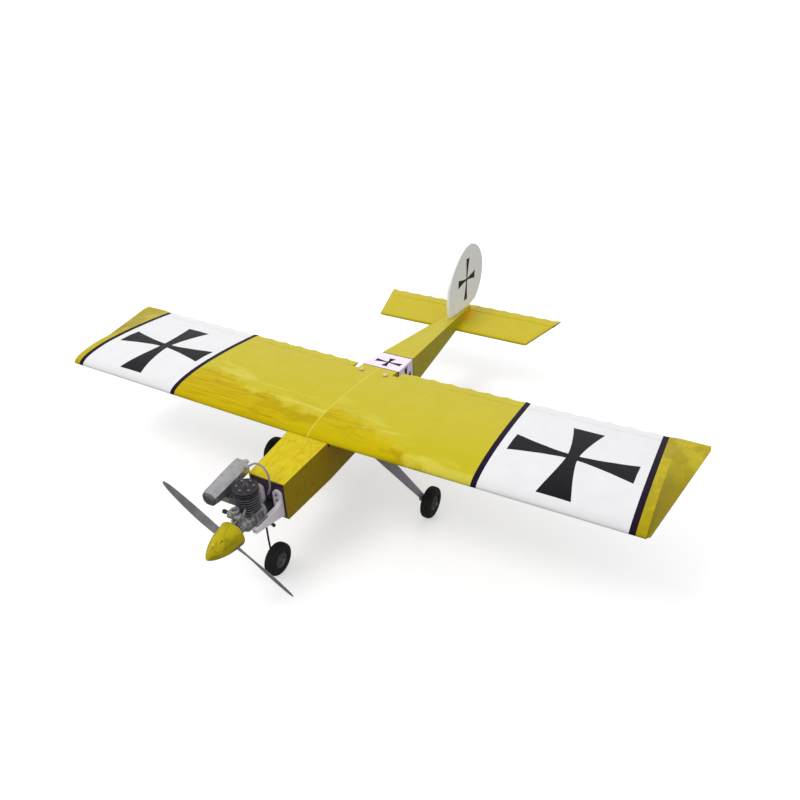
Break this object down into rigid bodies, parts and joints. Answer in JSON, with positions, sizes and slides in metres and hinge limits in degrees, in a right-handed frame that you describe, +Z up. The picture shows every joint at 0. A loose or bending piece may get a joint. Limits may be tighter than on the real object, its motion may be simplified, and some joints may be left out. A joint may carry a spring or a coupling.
{
  "type": "radio-control model aeroplane",
  "caption": "High-wing engine-powered model aeroplane with box fuselage, strip ailerons, rounded fin, tricycle undercarriage and an exposed two-stroke engine with propeller.",
  "frame": {"origin": "on the ground under the middle of the bounding box, the aeroplane standing on its three wheels", "axes": "+X to the aircraft's left along the span, +Y aft, +Z up"},
  "size_m": [1.54, 1.3118, 0.4108],
  "materials": {
    "film_yellow": "glossy yellow iron-on film over open balsa ribs",
    "film_white": "glossy white iron-on film over sheet balsa",
    "covered_wood": "glossy yellow film over sheet balsa",
    "dark_ply": "fuel-proofed dark purple ply",
    "ply": "bare birch ply and dowel",
    "white_nylon": "moulded nylon",
    "black_nylon": "moulded nylon",
    "cast_aluminium": "bead-blasted casting",
    "dark_aluminium": "dark anodised",
    "bright_steel": "plain steel",
    "black_wire": "black music wire",
    "brass": "plain",
    "dural_sheet": "brushed sheet",
    "tyre_rubber": "matt",
    "hub_plastic": "satin",
    "silicone_tube": "translucent",
    "tank_plastic": "translucent",
    "servo_case": "satin",
    "grey_plastic": "satin glass-filled nylon",
    "yellow_plastic": "gloss"
  },
  "bodies": {
    "airframe": {"carburettor": "cast_aluminium", "crankcase": "cast_aluminium", "crankcase_cover": "cast_aluminium", "cylinder": "cast_aluminium", "cylinder_head": "dark_aluminium", "elevator_servo": "servo_case", "engine_mount_left": "white_nylon", "engine_mount_right": "white_nylon", "exhaust_manifold": "cast_aluminium", "fin": "film_white", "firewall": "dark_ply", "front_former": "ply", "fuel_tank": "tank_plastic", "fuselage_belly": "covered_wood", "fuselage_side_left": "covered_wood", "fuselage_side_right": "covered_wood", "glow_plug": "brass", "main_axle_left": "bright_steel", "main_axle_right": "bright_steel", "main_gear_leg_left": "dural_sheet", "main_gear_leg_right": "dural_sheet", "muffler": "cast_aluminium", "nose_deck": "covered_wood", "nose_gear_bracket": "black_nylon", "pressure_hose": "silicone_tube", "rear_deck": "covered_wood", "rudder_servo": "servo_case", "stabilizer": "film_yellow", "wing_bolt_left": "white_nylon", "wing_bolt_plate": "ply", "wing_bolt_right": "white_nylon", "wing_dowel_left": "ply", "wing_dowel_right": "ply", "wing_joiner": "ply", "wing_left": "film_yellow", "wing_right": "film_yellow"},
    "propeller_group": {"crankshaft": "bright_steel", "spinner_backplate": "yellow_plastic", "propeller": "grey_plastic", "prop_nut": "bright_steel", "spinner": "yellow_plastic"},
    "throttle": {"throttle_barrel": "bright_steel"},
    "needle": {"needle_valve": "black_nylon"},
    "nose_gear": {"nose_strut": "black_wire", "steering_arm": "black_nylon"},
    "nose_wheel": {"nose_hub": "hub_plastic", "nose_tyre": "tyre_rubber"},
    "main_wheel_left": {"main_hub_left": "hub_plastic", "main_tyre_left": "tyre_rubber"},
    "main_wheel_right": {"main_hub_right": "hub_plastic", "main_tyre_right": "tyre_rubber"},
    "aileron_left_body": {"aileron_left": "film_yellow"},
    "aileron_right_body": {"aileron_right": "film_yellow"},
    "elevator_body": {"elevator": "film_yellow", "elevator_horn": "white_nylon"},
    "rudder_body": {"rudder": "film_white", "rudder_horn": "white_nylon"},
    "elevator_rod": {"elevator_pushrod": "bright_steel"},
    "rudder_rod": {"rudder_pushrod": "bright_steel"}
  },
  "joints": [
    {"name": "propeller_spin", "type": "hinge", "parent": "airframe", "child": "propeller_group", "pos_m": [0, -0.59427, 0.17768], "axis": [0, 0.9992, 0.0406], "continuous": true},
    {"name": "throttle_turn", "type": "hinge", "parent": "airframe", "child": "throttle", "pos_m": [0, -0.56414, 0.21193], "axis": [1, 0, 0], "range_deg": [0, 60]},
    {"name": "needle_turn", "type": "hinge", "parent": "airframe", "child": "needle", "pos_m": [0, -0.56414, 0.21193], "axis": [1, 0, 0], "continuous": true},
    {"name": "rudder_hinge", "type": "hinge", "parent": "airframe", "child": "rudder_body", "pos_m": [0, 0.5573, 0.27806], "axis": [0, -0.0406, 0.9992], "range_deg": [-25, 25]},
    {"name": "nose_steering", "type": "hinge", "parent": "airframe", "child": "nose_gear", "pos_m": [0, -0.48754, 0.23556], "axis": [0, -0.0406, 0.9992], "range_deg": [-21, 21]},
    {"name": "nose_wheel_roll", "type": "hinge", "parent": "nose_gear", "child": "nose_wheel", "pos_m": [0.016, -0.47843, 0.03617], "axis": [1, 0, 0], "continuous": true},
    {"name": "main_wheel_left_roll", "type": "hinge", "parent": "airframe", "child": "main_wheel_left", "pos_m": [0.2225, -0.16324, 0.03798], "axis": [1, 0, 0], "continuous": true},
    {"name": "main_wheel_right_roll", "type": "hinge", "parent": "airframe", "child": "main_wheel_right", "pos_m": [-0.2225, -0.16324, 0.03798], "axis": [1, 0, 0], "continuous": true},
    {"name": "aileron_left_hinge", "type": "hinge", "parent": "airframe", "child": "aileron_left_body", "pos_m": [0.0635, -0.02308, 0.26083], "axis": [0.9999, -0.0005, 0.0132], "range_deg": [-22, 22]},
    {"name": "aileron_right_hinge", "type": "hinge", "parent": "airframe", "child": "aileron_right_body", "pos_m": [-0.0635, -0.02308, 0.26083], "axis": [0.9999, 0.0005, -0.0132], "range_deg": [-22, 22]},
    {"name": "elevator_hinge", "type": "hinge", "parent": "airframe", "child": "elevator_body", "pos_m": [0, 0.56081, 0.19163], "axis": [1, 0, 0], "range_deg": [-22, 22]},
    {"name": "elevator_rod_slide", "type": "slide", "parent": "airframe", "child": "elevator_rod", "axis": [-0.0409, 0.999, -0.0156], "range_m": [-0.009, 0.009]},
    {"name": "rudder_rod_slide", "type": "slide", "parent": "airframe", "child": "rudder_rod", "axis": [-0.0212, 0.9992, 0.033], "range_m": [-0.0115, 0.0115]}
  ],
  "couplings": [
    {"joint": "aileron_right_hinge", "follows": "aileron_left_hinge", "ratio": -1},
    {"joint": "nose_steering", "follows": "rudder_hinge", "ratio": -0.8},
    {"joint": "elevator_rod_slide", "follows": "elevator_hinge", "m_per_rad": 0.0222},
    {"joint": "rudder_rod_slide", "follows": "rudder_hinge", "m_per_rad": -0.0249}
  ]
}
